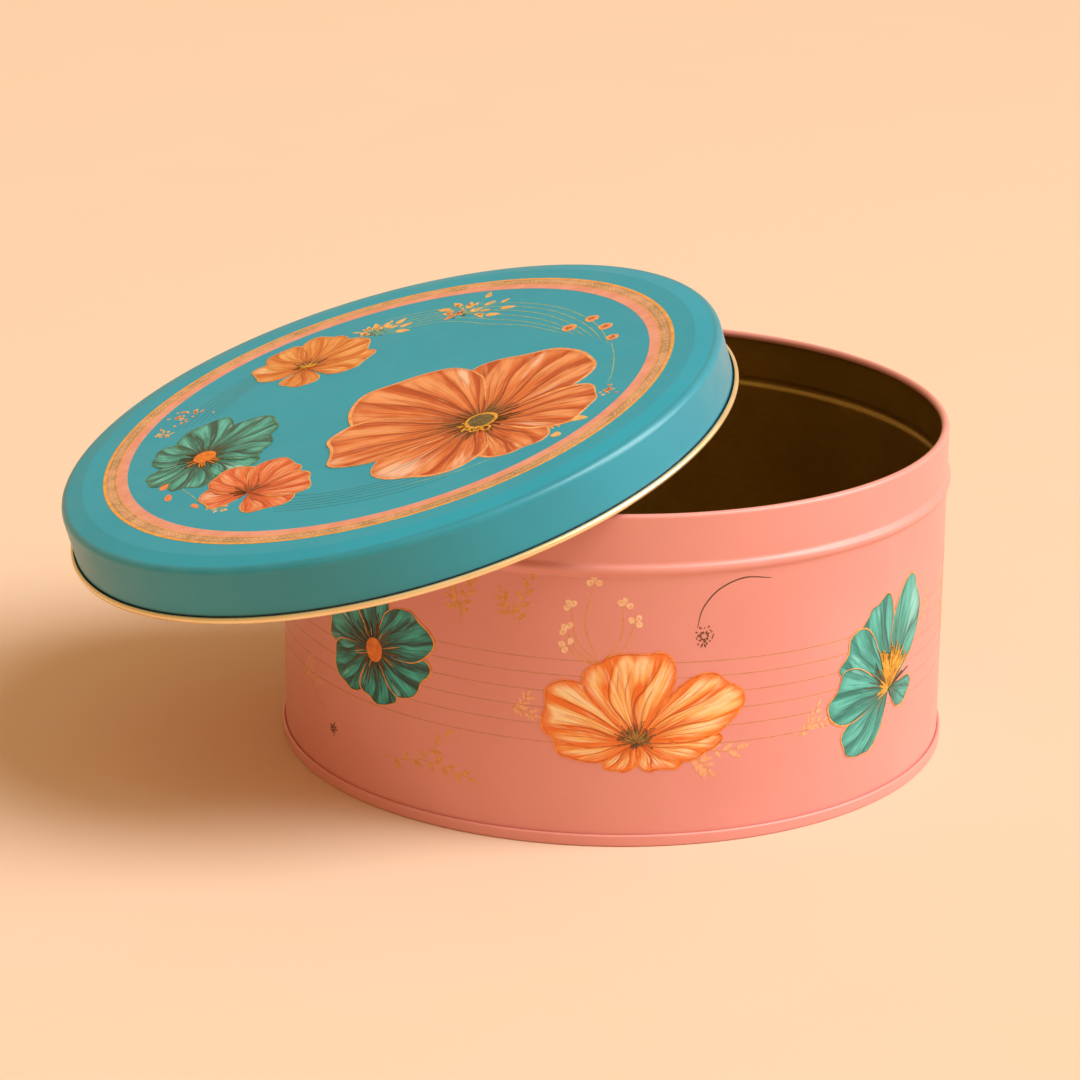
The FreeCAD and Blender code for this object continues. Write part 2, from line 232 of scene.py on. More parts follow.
def petal_ink(name, shades, folds, crease=0.5, shaded=0.42):
    """Watercolour petals: folds that run out from the heart, fine veins and a drawn edge.

    The petal's own attributes say where a point is: `across` 0 to 1 from side to side,
    `along` 0 to 1 from the heart to the edge, `span` how wide the petal is there in mm,
    `edge` how far the petal's edge is in mm, and `petal` a number of its own.
    """
    deep, middle, pale, light, heart, line = shades
    paint = Paint(name, deep, roughness=0.40, coat=0.22, coat_roughness=0.22)
    across, along = paint.attribute("across"), paint.attribute("along")
    span, edge, own = paint.attribute("span"), paint.attribute("edge"), paint.attribute("petal")
    where = paint.place()

    def streaks(fine, long, seed, detail=3.0):
        where = paint.add("CombineXYZ", paint.times(across, fine), paint.times(along, long),
                          paint.math("MULTIPLY_ADD", own, 7.3, seed)).outputs[0]
        return paint.noise(where, 1.0, detail, 0.55)

    sway = paint.math("MULTIPLY_ADD", streaks(1.7, 1.2, 1.0, 0.0), 2.0, -1.0)
    fold = paint.math("FRACT", paint.math("MULTIPLY_ADD", across, folds, sway))
    # each fold climbs slowly from its crease to its crown and drops quickly again
    rise = paint.spread(fold, 0.0, 0.55)
    fall = paint.spread(fold, 0.86, 1.0, 1.0, 0.0)
    crown = paint.times(rise, fall)
    out = paint.spread(along, 0.12, 0.95)
    body = paint.times(crown, paint.math("MULTIPLY_ADD", out, 0.75, 0.25))
    wash = streaks(9.0, 1.6, 4.0)
    body = paint.plus(body, paint.spread(wash, 0.3, 0.7, -0.28, 0.28))
    paint.over(paint.spread(body, 0.0, 0.55), middle)
    paint.over(paint.spread(body, 0.45, 1.1), pale)
    brushed = streaks(42.0, 2.4, 20.0)
    paint.over(paint.spread(brushed, 0.46, 0.66, 0.0, 0.50), deep)
    paint.over(paint.spread(brushed, 0.52, 0.34, 0.0, 0.45), pale)
    bright = paint.times(paint.spread(streaks(11.0, 0.9, 9.0), 0.57, 0.66),
                         paint.spread(along, 0.35, 0.70))
    paint.over(paint.times(bright, 0.68), light)
    # thin drawn creases, their width held in mm however wide the petal is there
    gap = paint.math("MINIMUM", fold, paint.minus(1.0, fold))
    gap = paint.times(gap, paint.math("DIVIDE", span, folds))
    thick = paint.spread(along, 0.15, 0.95, crease, 0.12)
    vein = paint.minus(1.0, paint.spread(paint.math("DIVIDE", gap, thick), 0.4, 1.0))
    vein = paint.times(vein, paint.spread(along, 0.84, 0.99, 1.0, 0.0))
    paint.over(paint.times(vein, 0.85), line)
    # many finer veins between the folds, each drawn for only part of its way
    thread = paint.math("FRACT",
                        paint.math("MULTIPLY_ADD", across, folds * 3.7, paint.times(sway, 2.2)))
    gap = paint.times(paint.math("ABSOLUTE", paint.minus(thread, 0.5)),
                      paint.math("DIVIDE", span, folds * 3.7))
    thread = paint.times(paint.spread(gap, 0.08, 0.24, 1.0, 0.0),
                         paint.spread(streaks(8.0, 1.4, 15.0), 0.40, 0.58))
    thread = paint.times(thread, paint.spread(along, 0.70, 0.97, 1.0, 0.0))
    paint.over(paint.times(thread, 0.62), line)
    near = paint.plus(along, paint.spread(streaks(14.0, 0.6, 12.0), 0.3, 0.7, -0.20, 0.20))
    paint.over(paint.spread(near, 0.0, 0.32, 0.92, 0.0), heart)
    # a soft darker band inside the edge, then the drawn edge itself
    inward = paint.plus(edge, paint.spread(streaks(24.0, 1.2, 30.0), 0.3, 0.7, -1.0, 1.0))
    paint.over(paint.spread(inward, 0.3, 3.0, shaded, 0.0), deep)
    ragged = paint.plus(edge, paint.spread(paint.noise(where, 1.4, 2.0), 0.3, 0.7, -0.12, 0.12))
    paint.over(paint.spread(ragged, 0.16, 0.48, 0.85, 0.0), line)
    grain = paint.noise(where, 0.4, 3.0, 0.7)
    paint.over(paint.spread(grain, 0.3, 0.7, 0.0, 0.14), deep)
    rough = paint.spread(paint.noise(where, 6.0, 3.0), 0.3, 0.7, 0.36, 0.46)
    return paint.finish(rough, paint.bump(wash, 0.08, 0.04))


def line_ink(name, ground, deep, roughness=0.4, blotch=2.2):
    """One printed colour that lies a little unevenly, for lines, leaves and buds."""
    paint = Paint(name, ground, roughness=roughness, coat=0.2, coat_roughness=0.2)
    where = paint.place()
    paint.over(paint.spread(paint.noise(where, blotch, 4.0, 0.6), 0.32, 0.68), deep)
    paint.over(paint.spread(paint.noise(where, 0.35, 2.0), 0.35, 0.65, 0.0, 0.18), deep)
    rough = paint.spread(paint.noise(where, 3.0, 3.0), 0.3, 0.7, roughness - 0.05, roughness + 0.06)
    return paint.finish(rough, paint.bump(paint.noise(where, 0.5, 2.0), 0.08, 0.03))


SCROLLS, SCROLL_RADIUS, SCROLL_HEIGHT = 300, 80.35, 1.7


def glitter_ink(name, ground, bright, dark):
    """The ring's tan band: a row of fine gold scrolls and dots on a dull ground."""
    paint = Paint(name, ground, roughness=0.42, coat=0.2, coat_roughness=0.2)
    flat = paint.attribute("flat", "Vector")
    x, y = paint.add("SeparateXYZ", flat).outputs[:2]
    turn = paint.math("ARCTAN2", y, x)
    column = paint.minus(paint.math("FRACT", paint.times(turn, SCROLLS / math.tau)), 0.5)
    row = paint.math("DIVIDE", paint.minus(paint.length(x, y), SCROLL_RADIUS), SCROLL_HEIGHT)
    scroll = paint.length(column, row)
    loop = paint.spread(paint.math("ABSOLUTE", paint.minus(scroll, 0.36)), 0.05, 0.13, 1.0, 0.0)
    where = paint.place()
    broken = paint.spread(paint.noise(where, 0.9, 3.0, 0.7), 0.40, 0.56)
    loop = paint.times(loop, broken)
    dust = paint.spread(paint.noise(where, 0.5, 3.0, 0.8), 0.52, 0.62)
    paint.over(paint.spread(paint.noise(where, 6.0, 3.0), 0.3, 0.7), dark)
    paint.over(paint.times(dust, 0.35), dark)
    paint.over(paint.times(loop, 0.8), bright)
    paint.over(paint.spread(paint.noise(where, 0.7, 2.0, 0.9), 0.60, 0.68, 0.0, 0.5), bright)
    return paint.finish(paint.spread(loop, 0.0, 1.0, 0.46, 0.30), paint.bump(loop, 0.2, 0.04))


# ---- meshes
SHARP_FOLD = 38                      # degrees; edges that bend more are drawn sharp


def make_piece(name, points, faces, material, body, slot, values=None):
    """A mesh piece from points in metres in the row frame, riding on a body."""
    mesh = bpy.data.meshes.new(name)
    mesh.from_pydata([tuple(p) for p in points], [], faces)
    for key, column in (values or {}).items():
        kind = "FLOAT_VECTOR" if np.ndim(column) == 2 else "FLOAT"
        field = "vector" if np.ndim(column) == 2 else "value"
        mesh.attributes.new(key, kind, "POINT").data.foreach_set(field, np.ravel(column).astype(np.float32))
    mesh.validate()
    mesh.materials.append(material)
    mesh.shade_smooth()
    mesh.set_sharp_from_angle(angle=math.radians(SHARP_FOLD))
    piece = bpy.data.objects.new(name, mesh)
    bpy.context.scene.collection.objects.link(piece)
    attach(piece, body)
    return piece


def placed(points, placement):
    """Points in mm in a placement's own axes, as metres in the row frame."""
    points = np.asarray(points, float) * MM
    turn = np.array(placement.to_3x3())
    return points @ turn.T + np.array(placement.translation)


def ray(angle):
    """The unit vector at an angle in radians, or a row of them for a row of angles."""
    return np.stack([np.cos(angle), np.sin(angle)], axis=-1)


def round_turn(steps):
    """Angles evenly spaced round a full turn, in radians."""
    return np.arange(steps) * math.tau / steps


def arc(x, y, radius, start, end, steps):
    angles = np.radians(np.linspace(start, end, steps + 1))
    return [(x + radius * math.cos(a), y + radius * math.sin(a)) for a in angles]


def crest_of(path):
    """How sharply each point of a profile is bent, 0 to 1: the places that wear, and that get a painted
    highlight.
    """
    path = np.asarray(path, float)
    step = np.diff(path, axis=0)
    length = np.hypot(*step.T) + 1e-9
    heading = np.unwrap(np.arctan2(step[:, 1], step[:, 0]))
    bend = np.zeros(len(path))
    bend[1:-1] = np.abs(np.diff(heading)) / (length[1:] + length[:-1]) * 2
    return np.clip(bend * 1.2, 0, 1)


def revolve(name, path, inner_path, placement, material, body, slot, segments=360):
    """A closed skin between two profiles of (radius, level) in mm, turned about Z."""
    crest = np.concatenate([crest_of(path), crest_of(inner_path)[::-1] * 0])
    loop = list(path) + list(inner_path)[::-1]
    points, faces, rubbed_and_highlight, rows = [], [], [], []
    turns = round_turn(segments)
    for (radius, level), worn_and_highlight in zip(loop, crest):
        if radius < 1e-6:
            rows.append([len(points)] * segments)
            points.append((0, 0, level))
            rubbed_and_highlight.append(worn_and_highlight)
            continue
        rows.append(range(len(points), len(points) + segments))
        points += [(radius * math.cos(t), radius * math.sin(t), level) for t in turns]
        rubbed_and_highlight += [worn_and_highlight] * segments
    for near, far in zip(rows, rows[1:] + rows[:1]):
        for i in range(segments):
            j = (i + 1) % segments
            corners = [near[i], near[j], far[j], far[i]]
            corners = list(dict.fromkeys(corners))
            if len(corners) > 2:
                faces.append(corners)
    piece = make_piece(name, placed(points, placement), faces, material, body, slot,
                       {"crest": rubbed_and_highlight})
    outward(piece)
    return piece


def outward(piece):
    """Turns a closed mesh's faces so that they all look outwards."""
    solid = bmesh.new()
    solid.from_mesh(piece.data)
    if solid.calc_volume(signed=True) < 0:
        piece.data.flip_normals()
    solid.free()


def wall_path(depth):
    """The wall's profile from the seam to the end of the rim's curl, depth mm into the sheet."""
    both = BEAD_CROWN + BEAD_ROOT
    reach = math.sqrt(2 * both * BEAD_PROUD - BEAD_PROUD ** 2)
    swing = math.degrees(math.asin(reach / both))
    root = BEAD_ROOT + depth
    path = [(WALL - depth, 2.0), (WALL - depth, 20.0), (WALL - depth, 60.0)]
    path += arc(WALL + BEAD_ROOT, BEAD_LEVEL - reach, root, 180, 180 - swing, 8)
    path += arc(WALL + BEAD_PROUD - BEAD_CROWN, BEAD_LEVEL, BEAD_CROWN - depth, -swing, swing, 14)[1:]
    path += arc(WALL + BEAD_ROOT, BEAD_LEVEL + reach, root, 180 + swing, 180, 8)[1:]
    path += arc(WALL - RIM_CURL, RIM_LEVEL, RIM_CURL - depth, 0, 270, 36)
    return path


def bottom_path(depth):
    """The bottom's profile from the top of the seam, round its foot, to the middle."""
    path = arc(SEAM_FACE - SEAM_ROLL, SEAM_ROLL_LEVEL, SEAM_ROLL - depth, 180, 0, 14)
    path += arc(SEAM_FACE - SEAM_FOOT, SEAM_FOOT, SEAM_FOOT - depth, 0, -90, 8)
    inside = END_WALL - SHEET
    path += arc(inside + SEAM_FOOT, SEAM_FOOT, SEAM_FOOT - depth, -90, -180, 8)
    corner = FLOOR_CORNER - SHEET + depth
    path += arc(END_WALL - FLOOR_CORNER, FLOOR_LEVEL + SHEET - FLOOR_CORNER, corner, 0, 90, 8)
    small, large = FLOOR_STEP - SHEET / 2, FLOOR_STEP + SHEET / 2
    swap = FLOOR_STEP * math.sqrt(3)
    path += arc(FLOOR_MIDDLE + swap, FLOOR_LEVEL + SHEET + small, large - depth, 270, 210, 6)
    path += arc(FLOOR_MIDDLE, FLOOR_LEVEL + FLOOR_STEP + SHEET - large, small + depth, 30, 90, 6)[1:]
    path += [(34.0, FLOOR_LEVEL + FLOOR_STEP + depth), (0.0, FLOOR_LEVEL + FLOOR_STEP + depth)]
    return path


# past this point the skirt's darker copy of the teal, a painted shade, takes over
SLOPE_SWAP = 0.94                    # the panel's ink ends just before the shoulder


def lid_path(depth):
    """The lid's profile from the middle of its panel to the end of its curl."""
    edge, shoulder = LID_PANEL_EDGE - depth, LID_SHOULDER - depth
    path = [(0.0, LID_HEIGHT - depth), (44.0, LID_HEIGHT - depth)]
    path += arc(LID_PANEL, LID_HEIGHT - LID_PANEL_EDGE, edge, 90, 90 - LID_SLOPE, 4)
    band_end = arc(LID_SKIRT - LID_SHOULDER, LID_SHOULDER_LEVEL, shoulder, 90 - LID_SLOPE, 0, 12)
    start, end = np.array(path[-1]), np.array(band_end[0])
    path.append(tuple(start + (end - start) * SLOPE_SWAP))
    cut = len(path)
    path += band_end
    path += arc(LID_SKIRT - SHEET + LID_CURL, LID_CURL, LID_CURL - SHEET + depth, 180, 450, 36)
    return path[:cut], path[cut - 1:]


# ---- the sheets
# each sheet's pale tint is for wear and scratches, and in part for a painted highlight on its bends
TEAL_RUBBED_AND_HIGHLIGHT = (120, 210, 224)
pink_print = printed_sheet("pink_print", (226, 150, 144), (212, 130, 124), (250, 206, 196),
                           0.5, 0.40, 0.42)
teal_print = printed_sheet("teal_print", (10, 164, 196), (6, 146, 178), TEAL_RUBBED_AND_HIGHLIGHT, 0.16, 0.30, 0.44)
# the skirt's ink is a darker copy of the panel's teal: painted shade on the lid's upright side
shaded_skirt_print = printed_sheet("teal_skirt_print", (6, 146, 172), (4, 130, 156), TEAL_RUBBED_AND_HIGHLIGHT,
                            0.45, 0.30, 0.40)
brown_lacquer = lacquered_sheet("brown_lacquer", (168, 134, 50), (138, 106, 34), 0.75, 0.38)
gold_lacquer = lacquered_sheet("gold_lacquer", (252, 228, 180), (238, 202, 140), 0.65, 0.30, 0.15)
bare_tin = lacquered_sheet("bare_tin", (214, 206, 196), (176, 166, 154), 0.9, 0.34)
compound = line_ink("lining_compound", (150, 140, 120), (120, 110, 92), 0.8)
for node_slot in frame["nodes"]["bottom_seam_gasket"].material_slots:
    node_slot.material = compound

HALF = SHEET / 2
outer, middle, inner = lid_path(0), lid_path(HALF), lid_path(SHEET)
SHEETS = {"body_wall": ("tin", "wall_tinplate"), "bottom_end": ("tin", "bottom_tinplate"),
          "lid_shell": ("lid", "lid_tinplate")}
# the printed skins take the sheet's outer half, and the lacquered ones its inner half
for name, node, path, back, placement, material in (
        ("wall_print", "body_wall", wall_path(0), wall_path(HALF), ROW, pink_print),
        ("wall_lining", "body_wall", wall_path(SHEET), wall_path(HALF), ROW, brown_lacquer),
        ("bottom_print", "bottom_end", bottom_path(0), bottom_path(HALF), ROW, pink_print),
        ("bottom_lining", "bottom_end", bottom_path(SHEET), bottom_path(HALF), ROW, brown_lacquer),
        ("lid_panel_print", "lid_shell", outer[0], middle[0], LID, teal_print),
        ("lid_skirt_print", "lid_shell", outer[1], middle[1], LID, shaded_skirt_print),
        ("lid_lining", "lid_shell", inner[0] + inner[1][1:], middle[0] + middle[1][1:], LID,
         gold_lacquer)):
    piece = revolve(name, path, back, placement, material, *SHEETS[node])
    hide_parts(node)
# a painted shade: a dark ring of ink where the skirt meets its curl, standing in for the shade in that
# narrow gap
crevice_shade = line_ink("crevice_ink", (10, 78, 96), (6, 52, 68))
CREVICE_SHADE = ((0.04, 1.0), (0.04, 2.0), (0.0, 2.15))
revolve("lid_curl_crevice", [(LID_SKIRT + proud, level) for proud, level in CREVICE_SHADE],
        [(LID_SKIRT - HALF / 2, level) for _, level in CREVICE_SHADE],
        LID, crevice_shade, *SHEETS["lid_shell"])


def seam_strip(name, low, high, half_width, shift, material):
    """A strip up the wall at the back, from low to high mm proud of it, its edges eased."""
    low, high = WALL + low, WALL + high
    ease = (high - low) * 0.3
    section = [(-half_width + ease, low), (half_width - ease, low), (half_width, low + ease),
               (half_width, high - ease), (half_width - ease, high), (-half_width + ease, high),
               (-half_width, high - ease), (-half_width, low + ease)]
    levels = [(SEAM_BOTTOM, 0.7), (SEAM_BOTTOM + ease, 1.0), (SEAM_TOP - ease, 1.0), (SEAM_TOP, 0.7)]
    middle, count = (low + high) / 2, len(section)
    points = []
    for level, size in levels:
        for across, radius in section:
            angle = math.pi / 2 + (shift + across) / WALL
            radius = middle + (radius - middle) * size
            points.append((radius * math.cos(angle), radius * math.sin(angle), level))
    faces = [list(range(count)), [count * 3 + k for k in reversed(range(count))]]
    for row in range(3):
        for k in range(count):
            j = (k + 1) % count
            faces.append([row * count + j, row * count + k, (row + 1) * count + k,
                          (row + 1) * count + j])
    piece = make_piece(name, placed(points, ROW), faces, material, *SHEETS["body_wall"],
                       {"crest": [0.0] * len(points)})
    outward(piece)


seam_strip("side_seam_fold", -SHEET - SIDE_SEAM_DEPTH, -HALF, SIDE_SEAM_WIDTH / 2, 0.0, brown_lacquer)
seam_strip("side_seam_cover", -0.05, 0.09, SIDE_SEAM_WIDTH / 2, 0.0, pink_print)
seam_strip("side_seam_sheet_edge", -0.05, 0.12, 0.16, SIDE_SEAM_WIDTH / 2, bare_tin)


# ---- printing on the sheets
def on_lid(flat, height):
    """Flat print coordinates in mm, from the panel's middle, at a height above the panel."""
    flat = np.asarray(flat, float)
    return placed(np.column_stack([flat, np.full(len(flat), height)]), LID_PRINT)


def on_wall(flat, height):
    """Print coordinates (mm round the wall from its front, mm above the floor), wrapped round."""
    flat = np.asarray(flat, float)
    angle = flat[:, 0] / WALL - math.pi / 2 - VIEW_TURN
    radius = WALL + height
    return np.column_stack([radius * np.cos(angle), radius * np.sin(angle), flat[:, 1]]) * MM


LID_SHEET = (on_lid, *SHEETS["lid_shell"])
WALL_SHEET = (on_wall, *SHEETS["body_wall"])
# heights of the layers of ink, which all start just inside the sheet, so nothing floats
INK_FOOT, LINE_HEIGHT, SPRIG_HEIGHT, PETAL_HEIGHT, PETAL_STEP = -0.05, 0.03, 0.05, 0.07, 0.025
HEART_HEIGHT = 0.28                  # above every petal


class Film:
    """Ink: thin closed layers lying on a sheet, gathered into one piece."""

    def __init__(self, sheet):
        self.place, self.body, self.slot = sheet
        self.points, self.faces, self.values = [], [], {}
        self.count = 0

    def layer(self, flat, faces, height, **values):
        """Flat points and their faces, as a closed layer that reaches down into the sheet."""
        flat = np.asarray(flat, float)
        total = len(flat)
        base = self.count
        self.points += [self.place(flat, height), self.place(flat, INK_FOOT)]
        edges = {}
        for face in faces:
            self.faces.append([base + i for i in face])
            self.faces.append([base + total + i for i in reversed(face)])
            for a, b in zip(face, face[1:] + face[:1]):
                if (b, a) in edges:
                    del edges[(b, a)]
                else:
                    edges[(a, b)] = True
        for a, b in edges:
            self.faces.append([base + b, base + a, base + total + a, base + total + b])
        values["flat"] = np.column_stack([flat, np.zeros(total)])
        for key, column in values.items():
            column = np.broadcast_to(column, (total,) + np.shape(column)[1:])
            self.values.setdefault(key, []).extend([column, column])
        self.count += total * 2

    def fan(self, rim, middle, height):
        """A filled loop, with its middle given."""
        steps = len(rim)
        faces = [[steps, i, (i + 1) % steps] for i in range(steps)]
        self.layer(np.vstack([rim, [middle]]), faces, height)

    def band(self, inside, outside, height):
        """A closed band between two loops that have as many points."""
        steps = len(inside)
        faces = [[i, steps + i, steps + (i + 1) % steps, (i + 1) % steps] for i in range(steps)]
        self.layer(np.vstack([inside, outside]), faces, height)

    def strip(self, line, widths, height):
        """A line of changing width."""
        line = np.asarray(line, float)
        heading = np.gradient(line, axis=0)
        heading /= np.hypot(*heading.T)[:, None] + 1e-9
        side = np.column_stack([-heading[:, 1], heading[:, 0]]) * np.reshape(widths, (-1, 1)) / 2
        total = len(line)
        faces = [[i, i + 1, total + i + 1, total + i] for i in range(total - 1)]
        self.layer(np.vstack([line - side, line + side]), faces, height)

    def stroke(self, points, width, height, taper=0.35):
        """A drawn line through a few points, thinner towards both ends."""
        line = smooth(points)
        reach = np.linspace(0, 1, len(line))
        ease = np.clip(np.minimum(reach, 1 - reach) / taper, 0, 1) ** 0.6
        self.strip(line, width * (0.3 + 0.7 * ease), height)

    def blob(self, x, y, angle, length, width, height, sharp=0.5, steps=18):
        """A leaf, bud or dot: an oval that narrows towards its far end."""
        turns = round_turn(steps)
        along = np.cos(turns) * length / 2
        across = np.sin(turns) * width / 2 * (1 - sharp * np.cos(turns))
        c, s = math.cos(angle), math.sin(angle)
        rim = np.column_stack([x + along * c - across * s, y + along * s + across * c])
        self.fan(rim, (x, y), height)

    def finish(self, name, material):
        values = {key: np.concatenate(parts) for key, parts in self.values.items()}
        make_piece(name, np.concatenate(self.points), self.faces, material, self.body, self.slot,
                   values)


def smooth(points):
    """A smooth curve through points, cut about every millimetre."""
    p = np.asarray(points, float)
    p = np.vstack([2 * p[0] - p[1], p, 2 * p[-1] - p[-2]])
    line = []
    for a, b, c, d in zip(p, p[1:], p[2:], p[3:]):
        cuts = max(2, int(math.ceil(np.hypot(*(c - b)))))
        t = np.linspace(0, 1, cuts, endpoint=False)[:, None]
        line.append(0.5 * (2 * b + (c - a) * t + (2 * a - 5 * b + 4 * c - d) * t ** 2
                           + (3 * b - a - 3 * c + d) * t ** 3))
    line.append(p[-2:-1])
    return np.vstack(line)


def even(line, count):
    """The same line with count + 1 points evenly spaced along it."""
    length = np.concatenate([[0], np.cumsum(np.hypot(*np.diff(line, axis=0).T))])
    wanted = np.linspace(0, length[-1], count + 1)
    return np.column_stack([np.interp(wanted, length, line[:, k]) for k in (0, 1)])


def distance_to(points, line):
    """How far each point is from a line, in mm."""
    best = np.full(len(points), 1e9)
    for a, b in zip(line, line[1:]):
        step = b - a
        t = np.clip(((points - a) @ step) / max(step @ step, 1e-9), 0, 1)
        best = np.minimum(best, np.hypot(*(points - (a + t[:, None] * step)).T))
    return best


class Move:
    """How a repeated flower is shifted, turned, sized and mirrored about its heart."""

    def __init__(self, shift=(0, 0), turn=0.0, scale=1.0, flip=1):
        self.shift, self.turn, self.flip = shift, turn, flip
        c, s = math.cos(math.radians(turn)), math.sin(math.radians(turn))
        self.spin = np.array([[c, s], [-s, c]]) * scale

    def heart(self, drawn, unit=1.0):
        return np.asarray(drawn[0], float) * unit + self.shift


COLUMNS, ROWS, EDGE_STEPS = 64, 14, 120      # how finely a petal and its edging are cut


def flower(name, sheet, drawn, ink, edging, edge_width, unit, move):
    """The petals in the order they overlap, and an edging along each one's outline."""
    paint, rim = Film(sheet), Film(sheet)
    heart = move.heart(drawn, unit)
    wide = COLUMNS + 1
    share = np.arange(1, ROWS + 1) / ROWS
    along = np.append(0, np.repeat(share, wide))
    across = np.append(0, np.tile(np.arange(wide) / COLUMNS, ROWS))
    steps = np.arange(EDGE_STEPS + 1)
    ends = np.clip(np.minimum(steps, EDGE_STEPS - steps) / 14, 0.15, 1)
    for number, outline in enumerate(drawn[1]):
        outline = smooth(outline * (move.flip, 1)) @ (move.spin * unit)
        line = even(outline, COLUMNS)[::move.flip]
        turned = np.cross(line[:-1], line[1:]).sum() > 0
        grid = np.vstack([[(0, 0)], (line[None] * share[:, None, None]).reshape(-1, 2)])
        faces = []
        for row in range(ROWS):
            for far in range(1 + row * wide, row * wide + wide):
                face = [far - wide, far - wide + 1, far + 1, far] if row else [0, far + 1, far]
                faces.append(face[::-1] if turned else face)
        length = np.hypot(*np.diff(line, axis=0).T).sum()
        edge = distance_to(grid, np.vstack([[(0, 0)], line, [(0, 0)]]))
        height = PETAL_HEIGHT + PETAL_STEP * number
        paint.layer(grid + heart, faces, height, across=across, along=along, span=along * length,
                    edge=edge, petal=np.full(len(grid), number + 1.0))
        # the edging follows the outline, and is drawn thicker in places
        sway = 0.75 + 0.35 * np.sin(np.linspace(0, 9, EDGE_STEPS + 1) + number * 2.1)
        rim.strip(even(outline, EDGE_STEPS) + heart, edge_width * sway * ends,
                  height + PETAL_STEP * 0.5)
    paint.finish(name + "_petals", ink)
    rim.finish(name + "_edging", edging)


UNIT = LID_SKIRT / 100               # the lid's print is laid out in hundredths of its radius

# each petal ink's deep, middle, pale, light, heart and line colours, then how it is folded
PETAL_INKS = {
    "poppy": (((184, 70, 20), (224, 116, 52), (244, 168, 114), (255, 226, 204), (104, 74, 24),
               (120, 46, 12)), 7.0),
    "peach": (((204, 100, 28), (226, 140, 58), (240, 182, 112), (250, 214, 164), (150, 80, 24),
               (160, 76, 20)), 4.0, 0.35),
    "coral": (((208, 78, 32), (234, 118, 66), (244, 168, 122), (252, 212, 182), (168, 76, 26),
               (140, 50, 20)), 5.0, 0.35),
    "sea": (((4, 84, 78), (24, 142, 132), (88, 204, 196), (176, 242, 238), (58, 70, 30),
             (4, 48, 44)), 5.0, 0.35),
    "marigold": (((236, 114, 6), (250, 196, 112), (254, 230, 184), (255, 242, 220), (200, 92, 14),
                  (170, 66, 10)), 5.0, 0.4, 0.85),
    "fern": (((22, 116, 108), (50, 160, 150), (92, 196, 188), (150, 226, 220), (112, 104, 36),
              (16, 80, 72)), 5.0, 0.35),
    "pine": (((0, 70, 68), (2, 122, 120), (54, 204, 206), (140, 244, 246), (28, 44, 22),
              (2, 32, 30)), 5.0, 0.4),
}
petal_inks = {name: petal_ink(name + "_ink", *look) for name, look in PETAL_INKS.items()}
peach_edge = line_ink("peach_edge", (244, 184, 122), (228, 142, 78))
gold_edge = line_ink("gold_edge", (240, 178, 100), (214, 134, 58))
orange_edge = line_ink("orange_edge", (244, 150, 60), (224, 108, 28))
green_edge = line_ink("green_edge", (90, 150, 104), (30, 92, 70))


def bloom(heart, middle, long, short, turn, petals, ruffle, seed):
    """A generic flower seen aslant: its heart, and a ruffled outline about it for each petal.

    The petals reach from the heart to an oval round the middle, with its long axis turned
    from +X. Each is (direction, spread) in degrees, and they are in the order they overlap.
    """
    draw = random.Random(seed)
    axis = math.radians(turn)
    to_oval = np.array([[math.cos(axis) / long, math.sin(axis) / long],
                        [-math.sin(axis) / short, math.cos(axis) / short]])
    start = to_oval @ np.subtract(heart, middle)
    side = np.linspace(-1, 1, 25)
    outlines = []
    for direction, spread in petals:
        angle = np.radians(direction + spread / 2 * side)
        rays = ray(angle)
        step = rays @ to_oval.T
        a, b, c = (step ** 2).sum(1), step @ start, start @ start - 1
        reach = (np.sqrt(b * b - a * c) - b) / a
        reach *= 0.30 + 0.70 * (1 - np.abs(side) ** 3.4) ** 0.55
        waves = sum(size * np.sin(rate * side + draw.uniform(0, math.tau))
                    for size, rate in ((0.9, 3.6), (0.55, 8.0), (0.10, 17.0)))
        reach *= draw.uniform(0.93, 1.0) * (1 + ruffle * waves * np.sqrt(1 - side ** 2))
        outlines.append(rays * reach[:, None])
    return heart, outlines


# heart and middle of the lid's flowers are in hundredths of its radius from its middle, and
# of the wall's in mm: round the wall from its front, and above the floor
POPPY = bloom((29, -31), (24, -21), 44, 41, 10,
              ((-66, 72), (-124, 90), (60, 90), (-12, 72), (126, 80), (174, 62)), 0.045, 21)
PEACH = bloom((-27, 45), (-25, 50), 20, 18, -20,
              ((-105, 90), (168, 74), (-18, 76), (122, 70), (74, 66), (28, 66)), 0.05, 32)
CORAL = bloom((-39, -42), (-37, -39), 20, 17, 120,
              ((-62, 90), (175, 88), (115, 76), (58, 80), (-4, 84)), 0.05, 23)
SEA = bloom((-55, -7), (-53, -4), 25, 20, 80,
            ((-100, 62), (-48, 66), (-150, 62), (152, 72), (98, 68), (40, 70), (-8, 62)), 0.05, 24)
MARIGOLD = bloom((5, 30), (5, 39), 28, 18, 0,
                 ((-118, 74), (-52, 76), (192, 50), (-12, 50), (158, 66), (26, 62), (96, 84)), 0.05, 25)
FERN = bloom((87, 32), (84, 40), 28, 18, 50,
             ((108, 50), (60, 58), (138, 54), (-134, 62), (172, 62), (-25, 74)), 0.05, 26)
PINE = bloom((-73, 46), (-73, 47), 22, 17, 8,
             ((98, 78), (158, 74), (-142, 80), (-84, 82), (-26, 76), (34, 82)), 0.06, 29)

